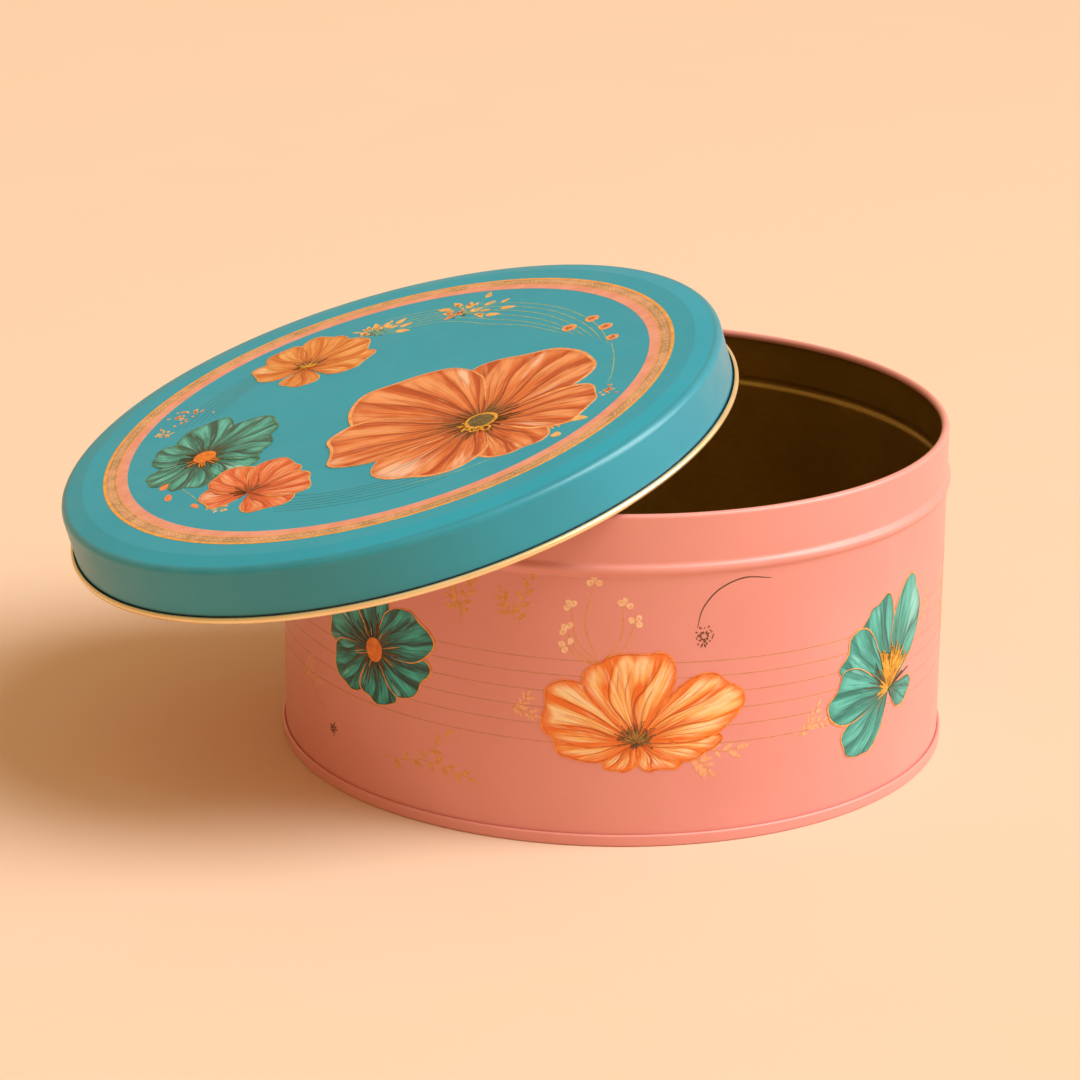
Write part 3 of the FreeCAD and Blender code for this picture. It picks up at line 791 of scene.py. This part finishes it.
# the wall's front has three flowers, and its back repeats them, turned or mirrored
FRONT = Move()
BACK_PINE = Move((243, 2), 14, 0.95, -1)
BACK_MARIGOLD = Move((243, 4), -10, 0.95, -1)
BACK_FERN = Move((320, 2), 12, 0.9)
for name, drawn, ink, edging, edge_width in (
        ("poppy", POPPY, "poppy", peach_edge, 1.0),
        ("peach_flower", PEACH, "peach", gold_edge, 0.5),
        ("coral_flower", CORAL, "coral", gold_edge, 0.5),
        ("sea_flower", SEA, "sea", green_edge, 0.5)):
    flower(name, LID_SHEET, drawn, petal_inks[ink], edging, edge_width, UNIT, FRONT)
for name, drawn, ink, edging, edge_width, move in (
        ("marigold", MARIGOLD, "marigold", orange_edge, 0.55, FRONT),
        ("fern_flower", FERN, "fern", gold_edge, 0.45, FRONT),
        ("pine_flower", PINE, "pine", gold_edge, 0.55, FRONT),
        ("back_pine_flower", PINE, "pine", gold_edge, 0.55, BACK_PINE),
        ("back_marigold", MARIGOLD, "marigold", orange_edge, 0.55, BACK_MARIGOLD),
        ("back_fern_flower", FERN, "fern", gold_edge, 0.45, BACK_FERN)):
    flower(name, WALL_SHEET, drawn, petal_inks[ink], edging, edge_width, 1.0, move)


# ---- hearts of the flowers
def dashes(film, heart, near, far, count, width, height, seed, start=0.0, end=360.0, dot=0.0):
    """Short strokes that run out from a heart, with a dot at the end of each if asked."""
    draw = random.Random(seed)
    for number in range(count):
        angle = math.radians(start + (end - start) * (number + draw.uniform(0.1, 0.9)) / count)
        first, last = near * draw.uniform(0.8, 1.2), far * draw.uniform(0.6, 1.08)
        bend = draw.uniform(-0.16, 0.16)
        line = [heart + ray(angle + bend * t) * (first + (last - first) * t) for t in (0, 0.5, 1)]
        film.stroke(line, width, height, 0.3)
        if dot:
            film.blob(*line[-1], angle, dot * draw.uniform(0.8, 1.3), dot * 0.8, height, 0.1, 8)


def ring(film, heart, across, up, width, height, wobble=0.0, steps=64):
    """A closed hand-drawn ring."""
    turns = round_turn(steps)
    sway = 1 + wobble * np.sin(turns * 3 + 1.0)
    thick = width * (1 + 0.35 * np.sin(turns * 2 + 0.5)) / 2
    line = ray(turns) * (across, up) * sway[:, None] + heart
    half = ray(turns) * thick[:, None]
    film.band(line - half, line + half, height)


def disc(film, heart, across, up, height):
    """A filled oval."""
    film.fan(ray(round_turn(32)) * (across, up) + heart, heart, height)


olive = line_ink("olive_heart", (120, 104, 58), (74, 60, 28), blotch=1.2)
gold_mark = line_ink("gold_mark", (240, 184, 60), (206, 138, 30), blotch=1.0)
amber = line_ink("amber_heart", (240, 142, 30), (208, 100, 18), blotch=1.4)
bark = line_ink("bark_line", (104, 78, 36), (72, 54, 24), blotch=1.0)

lid_olive, lid_gold_marks, lid_amber, lid_bark = (Film(LID_SHEET) for _ in range(4))
heart = FRONT.heart(POPPY, UNIT)
dashes(lid_bark, heart, 3.6, 11.5, 44, 0.22, HEART_HEIGHT, 1)
disc(lid_olive, heart, 3.9, 4.1, HEART_HEIGHT + 0.02)
ring(lid_gold_marks, heart, 4.2, 4.5, 0.85, HEART_HEIGHT + 0.04, 0.03)
ring(lid_gold_marks, heart + (-1.6, -5.2), 1.7, 1.3, 0.5, HEART_HEIGHT + 0.05, 0.08, 28)
ring(lid_gold_marks, heart + (1.4, -6.0), 1.2, 1.5, 0.5, HEART_HEIGHT + 0.05, 0.08, 28)
dashes(lid_gold_marks, heart, 4.6, 7.6, 9, 0.5, HEART_HEIGHT + 0.06, 2, 165, 285)
heart = FRONT.heart(SEA, UNIT)
dashes(lid_bark, heart, 2.8, 8.0, 34, 0.20, HEART_HEIGHT, 3)
disc(lid_amber, heart, 3.3, 3.7, HEART_HEIGHT + 0.02)
dashes(lid_amber, heart, 3.2, 6.4, 10, 0.42, HEART_HEIGHT + 0.03, 4, 200, 340, 0.7)
heart = FRONT.heart(PEACH, UNIT)
dashes(lid_bark, heart, 0.8, 7.0, 18, 0.18, HEART_HEIGHT, 5, 20, 160)
dashes(lid_gold_marks, heart, 0.5, 3.6, 12, 0.34, HEART_HEIGHT + 0.02, 6, 10, 175, 0.45)
heart = FRONT.heart(CORAL, UNIT)
dashes(lid_bark, heart, 1.0, 7.0, 9, 0.2, HEART_HEIGHT, 7, 20, 190)
lid_olive.finish("lid_olive_hearts", olive)
lid_amber.finish("lid_amber_hearts", amber)
lid_bark.finish("lid_dark_stamens", bark)
lid_gold_marks.finish("lid_gold_stamens", gold_mark)

wall_amber, wall_gold_marks, wall_bark, wall_olive = (Film(WALL_SHEET) for _ in range(4))
for seed, move in ((10, FRONT), (20, BACK_PINE)):
    heart = move.heart(PINE)
    dashes(wall_bark, heart, 2.8, 10.5, 30, 0.42, HEART_HEIGHT, seed)
    dashes(wall_gold_marks, heart, 3.6, 9.5, 9, 0.22, HEART_HEIGHT + 0.02, seed + 1)
    disc(wall_amber, heart, 3.1, 3.5, HEART_HEIGHT + 0.03)
for seed, move in ((30, FRONT), (40, BACK_MARIGOLD)):
    heart = move.heart(MARIGOLD)
    dashes(wall_bark, heart, 0.6, 6.0, 26, 0.20, HEART_HEIGHT, seed, 5, 175, 0.42)
    dashes(wall_gold_marks, heart, 0.4, 3.6, 10, 0.22, HEART_HEIGHT + 0.02, seed + 1, 10, 170, 0.40)
    dashes(wall_olive, heart, 0.3, 4.6, 34, 0.16, HEART_HEIGHT + 0.03, seed + 3, -20, 200, 0.72)
    dashes(wall_bark, heart, 0.4, 2.2, 12, 0.3, HEART_HEIGHT + 0.01, seed + 2, 180, 360)
for seed, move in ((50, FRONT), (60, BACK_FERN)):
    heart = move.heart(FERN)
    turn = move.turn
    dashes(wall_bark, heart, 1.0, 12.5, 26, 0.26, HEART_HEIGHT, seed, 20 + turn, 160 + turn)
    dashes(wall_gold_marks, heart, 0.8, 12.5, 44, 0.34, HEART_HEIGHT + 0.02, seed + 1,
           40 + turn, 120 + turn, 0.5)
    dashes(wall_gold_marks, heart, 0.6, 5.5, 18, 0.3, HEART_HEIGHT + 0.02, seed + 2,
           100 + turn, 200 + turn)
olive_dots = line_ink("olive_dots", (158, 118, 52), (102, 76, 30), blotch=1.0)
wall_olive.finish("wall_olive_stamens", olive_dots)
wall_amber.finish("wall_amber_hearts", amber)
wall_bark.finish("wall_dark_stamens", bark)
wall_gold_marks.finish("wall_gold_stamens", gold_mark)


# ---- ring, staff lines and sprigs
def lid_band(name, inside, outside, height, material):
    """A ring on the lid between two radii."""
    film, circle = Film(LID_SHEET), ray(round_turn(360))
    film.band(circle * inside, circle * outside, height)
    film.finish(name, material)


# the lid's ring: a pink band, a tan band of scrolls outside it, and a gold line at each edge
lid_band("ring_pink", 75.6, 78.9, LINE_HEIGHT,
         line_ink("ring_pink_ink", (234, 166, 148), (222, 146, 126), blotch=6.0))
lid_band("ring_scrolls", 78.7, 81.9, LINE_HEIGHT + 0.01,
         glitter_ink("ring_scroll_ink", (220, 162, 128), (240, 200, 144), (168, 130, 94)))
ring_gold = line_ink("ring_gold_ink", (242, 182, 92), (222, 150, 62))
for name, inside, outside in (("ring_gold_outer", 81.8, 82.7), ("ring_gold_inner", 78.6, 78.9)):
    lid_band(name, inside, outside, LINE_HEIGHT + 0.02, ring_gold)


STEM_STEPS, FIRST_LEAF = 40, 8       # a stem is cut into steps, and its leaves start at one


def branch(leaves, stems, points, count, length, width, seed):
    """A stem with leaves on either side by turns, and one at its tip."""
    draw = random.Random(seed)
    line = even(smooth(points), STEM_STEPS)
    stems.stroke(points, 0.24, LINE_HEIGHT, 0.25)
    for number in range(count):
        at = int(FIRST_LEAF + (STEM_STEPS - FIRST_LEAF - 1) * number / (count - 1))
        heading = line[at + 1] - line[at - 1]
        side = 0 if number == count - 1 else (1 if number % 2 else -1)
        angle = math.atan2(heading[1], heading[0]) + side * draw.uniform(0.6, 1.0)
        size = draw.uniform(0.75, 1.2)
        middle = line[at] + ray(angle) * length * size * 0.6
        leaves.blob(*middle, angle, length * size, width * size, SPRIG_HEIGHT, 0.45)


staff_light = line_ink("staff_light_ink", (176, 196, 140), (120, 168, 130))
staff_dark = line_ink("staff_dark_ink", (58, 130, 124), (44, 110, 104))
leaf_gold = line_ink("leaf_gold_ink", (242, 204, 132), (224, 158, 80), blotch=1.6)
bud_coral = line_ink("bud_coral_ink", (244, 160, 106), (226, 116, 62), blotch=1.3)

# six light staff lines sweep over the far side, and dark ones lie at the left and near sides
light, dark = Film(LID_SHEET), Film(LID_SHEET)
for number in range(6):
    turns = np.linspace(95, 4 + (5 - number) * 3.5, 30)
    radius = np.interp(-turns, (-95, -75, -57, -30, -4),
                       (58.5 + 2.2 * number, 58.5 + 2.2 * number, 54 + 3.0 * number,
                        55.5 + 2.3 * number, 60 + 1.4 * number))
    radius = radius + 0.4 * np.sin(np.radians(turns) * 5 + number)
    around = np.radians(turns)
    light.stroke(ray(around) * radius[:, None] * UNIT, 0.30, LINE_HEIGHT, 0.1)
    for start, end, first, gap in ((158, 126, 59.5, 1.8), (238, 292, 57.5, 2.0)):
        around = np.radians(np.linspace(start + number, end - number, 14))
        radius = first + gap * number + 0.5 * np.sin(around * 6 + number * 0.7)
        dark.stroke(ray(around) * radius[:, None] * UNIT, 0.26, LINE_HEIGHT, 0.2)

leaves, coral, marks = Film(LID_SHEET), Film(LID_SHEET), Film(LID_SHEET)


def tuft(film, stems, root, count, near, far, size, seed, start, end):
    """Small pointed leaves on short stems, all round a root."""
    draw = random.Random(seed)
    root = np.asarray(root, float) * UNIT
    for number in range(count):
        angle = math.radians(start + (end - start) * (number + draw.uniform(0.2, 0.8)) / count)
        reach = draw.uniform(near, far)
        tip = root + ray(angle) * reach
        stems.stroke([root, (root + tip) / 2 + draw.uniform(-0.3, 0.3), tip], 0.18, LINE_HEIGHT, 0.2)
        length = size * draw.uniform(0.7, 1.3)
        film.blob(*tip, angle + draw.uniform(-0.4, 0.4), length, length * 0.45, SPRIG_HEIGHT, 0.55, 12)


# tufts of leaves and marks, then round buds with a drawn rim, then single petals and lines
for film, root, count, near, far, size, seed, start, end in (
        (leaves, (-6, 59), 9, 4.5, 11.0, 4.0, 85, -20, 200),
        (leaves, (24, 58), 9, 5.0, 13.0, 4.2, 86, -70, 150),
        (coral, (19, 60), 4, 1.5, 4.0, 3.2, 87, 0, 360),
        (leaves, (49, -44), 4, 4.0, 7.0, 2.0, 88, 230, 320),
        (leaves, (-6, 61), 11, 3.0, 8.0, 2.6, 80, 10, 190),
        (marks, (-6, 61), 8, 1.0, 3.6, 1.3, 81, 0, 360),
        (leaves, (22, 58.5), 12, 3.0, 8.5, 2.6, 82, -40, 170),
        (marks, (21, 59), 7, 1.0, 3.4, 1.3, 83, 0, 360),
        (leaves, (-47, -47), 6, 1.5, 4.0, 2.0, 84, 150, 360)):
    tuft(film, light, root, count, near, far, size, seed, start, end)
for x, y, size in ((55, 25, 4.6), (62, 28, 4.4), (66, 19, 4.4), (68, 9, 3.8)):
    at = np.array((x, y)) * UNIT
    coral.blob(*at, 1.9, size, size * 0.92, SPRIG_HEIGHT + 0.02, 0.15)
    ring(leaves, at, size * 0.42, size * 0.46, 0.35, SPRIG_HEIGHT + 0.03, 0.08, 24)
    dashes(marks, at, 0.2, size * 0.30, 5, 0.34, SPRIG_HEIGHT + 0.04, int(x))
light.stroke(np.array([(67.5, 6.5), (68.3, -6), (67.6, -18), (66, -27)]) * UNIT, 0.34, LINE_HEIGHT)
for x, y, length, width, turn in ((-66, -22, 5.4, 3.2, 80), (-64, -31, 5.8, 2.6, 95),
                                  (-55, -42, 5.0, 2.2, -60)):
    coral.blob(x * UNIT, y * UNIT, math.radians(turn), length * 0.8, width * 0.8, SPRIG_HEIGHT, 0.25)
for x, y, length, width, turn in ((57, -46, 6.6, 3.4, -25), (41, -53, 8.0, 1.9, 38),
                                  (51, -54, 3.2, 2.8, 80)):
    leaves.blob(x * UNIT, y * UNIT, math.radians(turn), length, width, SPRIG_HEIGHT, 0.35)
light.stroke(np.array([(37, -57), (30, -61), (20, -63.5), (8, -64)]) * UNIT, 0.3, LINE_HEIGHT)
light.stroke(np.array([(-54, -40), (-57, -33), (-60, -27), (-61, -22)]) * UNIT, 0.3, LINE_HEIGHT)
# three clouds of small dabs
draw = random.Random(71)
for middle, spread, count in (((-63.5, 30.6), (5.5, 5.0), 26), ((-70, 20.2), (2.6, 3.6), 14),
                              ((66.3, -30), (2.2, 4.0), 15)):
    for _ in range(count):
        x, y = (draw.gauss(m, s / 1.8) * UNIT for m, s in zip(middle, spread))
        film = coral if draw.random() < 0.4 else leaves
        film.blob(x, y, draw.uniform(0, 6.3), draw.uniform(0.8, 2.2), draw.uniform(0.5, 1.1),
                  SPRIG_HEIGHT, 0.3, 10)
light.finish("lid_light_lines", staff_light)
dark.finish("lid_dark_lines", staff_dark)
leaves.finish("lid_gold_leaves", leaf_gold)
coral.finish("lid_coral_buds", bud_coral)
marks.finish("lid_bud_marks", bark)

# the wall's staff lines go all the way round, and stop at the upright seam at the back
wall_line = line_ink("wall_line_ink", (204, 144, 98), (184, 128, 80))
cream = line_ink("cream_bell_ink", (248, 208, 170), (236, 172, 136), blotch=1.2)
faint = line_ink("faint_leaf_ink", (244, 186, 142), (226, 156, 112), blotch=0.8)
wall_gold = line_ink("wall_gold_ink", (230, 168, 96), (206, 138, 66), blotch=1.0)
STAFF_LEVELS = (52.6, 48.2, 43.4, 38.6, 33.8, 28.8)
SEAM_AT = WALL * (math.pi + VIEW_TURN)       # the seam's place round the wall, from the front
round_wall = np.linspace(SEAM_AT - math.tau * WALL + 5, SEAM_AT - 5, 460)
lines, stems, brown = Film(WALL_SHEET), Film(WALL_SHEET), Film(WALL_SHEET)
bells, rings, cream_leaves, gold_leaves = (Film(WALL_SHEET) for _ in range(4))
for number, level in enumerate(STAFF_LEVELS):
    fall = -1.1 * np.sin((round_wall - 8) / 62)
    wave = 0.9 * np.sin((round_wall - 66) / 15 + number * 0.5) * np.clip((round_wall - 66) / 60, 0, 1)
    lines.strip(np.column_stack([round_wall, level + fall + wave]), 0.22, LINE_HEIGHT - 0.01)


def wall_sprays(shift):
    """The small plants between the flowers, shifted round the wall."""
    move = np.array((shift, 0.0))
    gold = [[(-44, 60), (-43, 66), (-40, 72)], [(-43, 62), (-46.5, 67), (-47, 71)],
            [(-27, 60), (-26.5, 67), (-23.5, 75)], [(-27.5, 63), (-31, 67), (-32, 70)],
            [(-71, 15.5), (-57, 18), (-48, 27)], [(-57, 18), (-49, 17.5), (-41, 15.5)]]
    for number, points in enumerate(gold):
        branch(gold_leaves, stems, np.array(points) + move, 7, 2.9, 1.15, 100 + number)
    pale = [[(16, 27), (22, 27.5), (29, 26), (33, 26.5)], [(18, 26), (22, 24), (25, 21)],
            [(51, 26), (55, 29.5), (58, 34)], [(53, 28), (58, 29.5), (63, 29)],
            [(-29, 37), (-26.5, 38.5), (-24.5, 42)], [(-29.5, 39), (-26, 37.5), (-22.5, 36.5)]]
    for number, points in enumerate(pale):
        leaf = 3.4 if number < 2 else 2.3
        branch(cream_leaves, stems, np.array(points) + move, 8, leaf, leaf * 0.34, 200 + number)
    # a plant of six bowed stems, each with three outlined bells
    draw, root = random.Random(90), np.array((-5, 52)) + move
    for turn, length in ((94, 23), (70, 18), (52, 15), (116, 18), (134, 13), (150, 10)):
        reach = ray(math.radians(turn)) * length
        bow = np.array((-reach[1], reach[0])) * (0.14 if turn > 90 else -0.14)
        stems.stroke([root, root + reach / 2 + bow, root + reach], 0.30, LINE_HEIGHT, 0.25)
        for number in range(3):
            lean = math.radians(turn + 75 * (number - 1) + draw.uniform(-15, 15))
            at = root + reach + ray(lean) * draw.uniform(1.0, 1.7)
            bells.blob(*at, lean, 2.2, 1.5, SPRIG_HEIGHT, -0.35, 14)
            ring(rings, at, 0.62, 0.78, 0.20, SPRIG_HEIGHT + 0.02, 0.1, 16)
    # a bowed brown line that ends in a burst, and a small burst and line further round
    brown.stroke(np.array([(21, 62), (22.5, 67.5), (27, 72.5), (34, 75), (42, 74)]) + move,
                 0.42, LINE_HEIGHT, 0.3)
    burst = np.array((23, 59.5)) + move
    dashes(brown, burst, 0.7, 1.9, 17, 0.40, SPRIG_HEIGHT, 300)
    dashes(brown, burst, 2.1, 3.2, 19, 0.42, SPRIG_HEIGHT, 301)
    dashes(brown, np.array((-92, 17)) + move, 0.3, 2.2, 13, 0.3, SPRIG_HEIGHT, 302)
    stems.stroke(np.array([(-116, 32), (-108, 28.5), (-101, 24), (-95, 18.5)]) + move, 0.24,
                 LINE_HEIGHT)


wall_sprays(0.0)
wall_sprays(-163.0)                  # the same plants again on the back
for film, points, count, length, width, seed in (
        (cream_leaves, [(106, 46), (109, 49), (110, 53)], 5, 2.2, 1.0, 401),
        (gold_leaves, [(128, 30), (132, 38), (131, 47), (136, 56)], 9, 3.8, 1.6, 402),
        (gold_leaves, [(208, 28), (212, 37), (209, 47), (214, 58)], 9, 3.8, 1.6, 403),
        (cream_leaves, [(296, 22), (301, 32), (299, 42), (304, 52)], 9, 4.0, 1.6, 404)):
    branch(film, stems, points, count, length, width, seed)
lines.finish("wall_lines", wall_line)
stems.finish("wall_stems", wall_gold)
brown_mark = line_ink("brown_mark_ink", (118, 74, 48), (88, 56, 36))
brown.finish("wall_brown_marks", brown_mark)
bells.finish("wall_cream_bells", cream)
bell_outline = line_ink("bell_outline_ink", (255, 236, 206), (236, 190, 138))
rings.finish("wall_bell_outlines", bell_outline)
cream_leaves.finish("wall_cream_leaves", faint)
gold_leaves.finish("wall_gold_leaves", wall_gold)


# ---- floor, light and camera
FLOOR_HALF = 14.0                    # metres, so that its end stays out of sight


def stage():
    """The pale paper that the tin stands on."""
    mesh = bpy.data.meshes.new("floor")
    corners = [(-1, -1), (1, -1), (1, 1), (-1, 1)]
    mesh.from_pydata([(x * FLOOR_HALF, y * FLOOR_HALF, 0) for x, y in corners], [], [(0, 1, 2, 3)])
    floor = bpy.data.objects.new("floor", mesh)
    bpy.context.scene.collection.objects.link(floor)
    paint = Paint("floor_paper", (227, 201, 179), roughness=0.85)
    where = paint.place()
    paint.over(paint.spread(paint.noise(where, 60.0, 3.0), 0.3, 0.7, 0.0, 0.06), (236, 196, 150))
    mesh.materials.append(paint.finish(None, paint.bump(paint.noise(where, 1.2), 0.04, 0.1)))


def soft_light(name, kind, azimuth, height, distance, size, power, tint):
    """A soft light that looks at the tin; azimuth is measured from the view's right.

    An AREA light is a disc size metres wide. A SUN lights every place alike, and size is how
    many degrees of the sky it fills.
    """
    angle = math.radians(azimuth) - VIEW_TURN
    flat = distance * math.cos(math.radians(height))
    where = Vector((flat * math.cos(angle), flat * math.sin(angle),
                    distance * math.sin(math.radians(height))))
    data = bpy.data.lights.new(name, kind)
    if kind == "AREA":
        data.shape = "DISK"
        data.size = size
    else:
        data.angle = math.radians(size)
    data.energy = power
    data.color = tint
    light = bpy.data.objects.new(name, data)
    light.location = where
    light.rotation_euler = (Vector((0, 0, 0.05)) - where).to_track_quat("-Z", "Y").to_euler()
    bpy.context.scene.collection.objects.link(light)


stage()
soft_light("key", "SUN", -19, 56, 3.4, 34.0, 1.50, (1.0, 0.985, 0.965))
soft_light("side", "SUN", -2, 26, 3.4, 36.0, 1.60, (1.0, 1.0, 1.0))
soft_light("wash", "AREA", -14, 50, 2.2, 1.3, 11.5, (1.0, 0.985, 0.965))
soft_light("fill", "AREA", -120, 55, 2.6, 2.4, 3.5, (1.0, 0.80, 0.60))

world = bpy.data.worlds.new("studio")
world.use_nodes = True
sky = world.node_tree.nodes["Background"]
sky.inputs["Color"].default_value = (1.0, 0.64, 0.30, 1)
sky.inputs["Strength"].default_value = 0.60
bpy.context.scene.world = world
bpy.context.scene.view_settings.view_transform = "Standard"

EYE, TARGET = Vector((-375.4, -996.3, 415.6)) * MM, Vector((-20.0, 7.1, 54.8)) * MM
ROLL = 0.0095                        # radians
SENSOR, LENS = 36.0, 129.7           # millimetres
ahead = (TARGET - EYE).normalized()
right = ahead.cross(Vector((0, 0, 1))).normalized()
up = right.cross(ahead)
camera_data = bpy.data.cameras.new("camera")
camera_data.sensor_width = SENSOR
camera_data.lens = LENS
camera_data.clip_start = 0.05
camera = bpy.data.objects.new("camera", camera_data)
camera.matrix_world = Matrix((right * math.cos(ROLL) + up * math.sin(ROLL),
                              up * math.cos(ROLL) - right * math.sin(ROLL),
                              -ahead)).transposed().to_4x4()
camera.location = EYE
bpy.context.scene.collection.objects.link(camera)
bpy.context.scene.camera = camera
